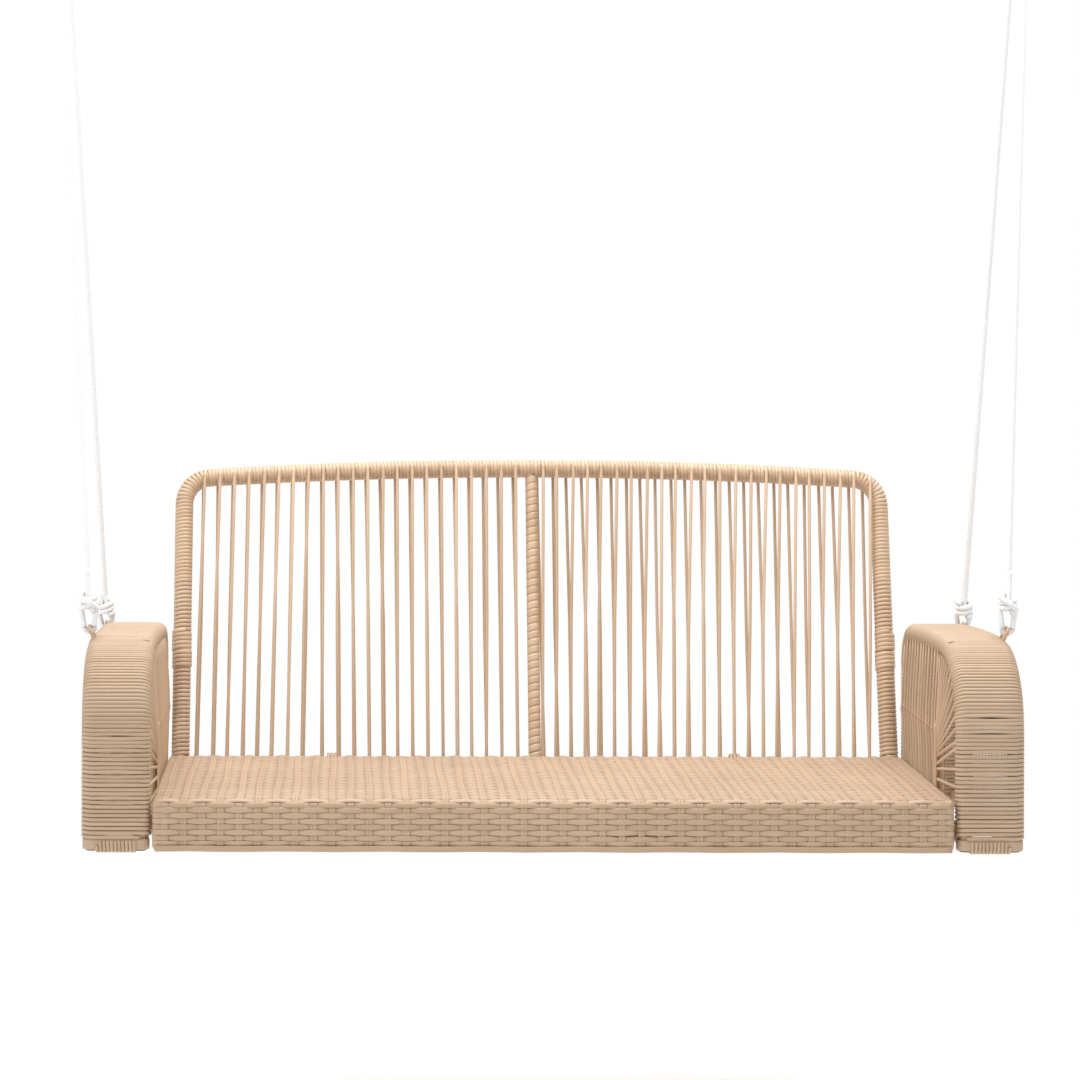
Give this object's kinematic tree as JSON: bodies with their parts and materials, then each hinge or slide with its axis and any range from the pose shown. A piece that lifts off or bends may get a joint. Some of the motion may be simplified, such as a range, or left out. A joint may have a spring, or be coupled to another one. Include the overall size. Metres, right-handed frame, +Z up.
{
  "type": "porch swing",
  "caption": "Hanging two-seat porch swing with a woven seat, arched cord-wound arms, a strung backrest and four ropes to two ceiling hooks.",
  "frame": {"origin": "on the ceiling plane, midway between the two ceiling hangers", "axes": "+Z up, +X to the right of someone looking at the front of the seat, -Y the way the seat faces"},
  "size_m": [1.47, 0.6425, 1.6901],
  "materials": {
    "tan_cord": "satin",
    "tan_weave": "satin",
    "tan_frame": "satin",
    "zinc_steel": "satin",
    "white_rope": "matte",
    "black_plastic": "satin"
  },
  "bodies": {
    "ceiling": {"ceiling_hanger_left": "zinc_steel", "ceiling_hanger_right": "zinc_steel"},
    "swing": {"arm_band_front_left": "tan_cord", "arm_band_front_right": "tan_cord", "arm_band_top_left": "tan_cord", "arm_band_top_right": "tan_cord", "arm_brace_left": "tan_frame", "arm_brace_right": "tan_frame", "arm_cap_inner_left": "black_plastic", "arm_cap_inner_right": "black_plastic", "arm_cap_outer_left": "black_plastic", "arm_cap_outer_right": "black_plastic", "arm_eye_front_left": "white_rope", "arm_eye_front_right": "white_rope", "arm_eye_rear_left": "white_rope", "arm_eye_rear_right": "white_rope", "arm_rail_inner_left": "tan_frame", "arm_rail_inner_right": "tan_frame", "arm_rail_outer_left": "tan_frame", "arm_rail_outer_right": "tan_frame", "arm_spacer_front_left": "tan_cord", "arm_spacer_front_right": "tan_cord", "arm_spacer_rear_left": "tan_cord", "arm_spacer_rear_right": "tan_cord", "arm_strands_inner_left": "tan_cord", "arm_strands_inner_right": "tan_cord", "arm_strands_outer_left": "tan_cord", "arm_strands_outer_right": "tan_cord", "arm_tube_inner_left": "tan_frame", "arm_tube_inner_right": "tan_frame", "arm_tube_outer_left": "tan_frame", "arm_tube_outer_right": "tan_frame", "back_hoop": "tan_cord", "back_post_middle": "tan_cord", "back_rail_lower": "tan_cord", "back_strands_left": "tan_cord", "back_strands_right": "tan_cord", "hang_ring_left": "zinc_steel", "hang_ring_right": "zinc_steel", "ring_eye_front_left": "white_rope", "ring_eye_front_right": "white_rope", "ring_eye_rear_left": "white_rope", "ring_eye_rear_right": "white_rope", "rope_front_left": "white_rope", "rope_front_right": "white_rope", "rope_rear_left": "white_rope", "rope_rear_right": "white_rope", "seat_bolt_front_left": "zinc_steel", "seat_bolt_front_right": "zinc_steel", "seat_bolt_rear_left": "zinc_steel", "seat_bolt_rear_right": "zinc_steel", "seat_rail_front_lower": "tan_frame", "seat_rail_front_upper": "tan_frame", "seat_rail_rear_lower": "tan_frame", "seat_rail_rear_upper": "tan_frame", "seat_side_left": "tan_frame", "seat_side_right": "tan_frame", "seat_weave": "tan_weave"}
  },
  "joints": [
    {"name": "swing", "type": "hinge", "parent": "ceiling", "child": "swing", "pos_m": [0, 0, -0.065], "axis": [1, 0, 0], "range_deg": [-25, 25]}
  ]
}
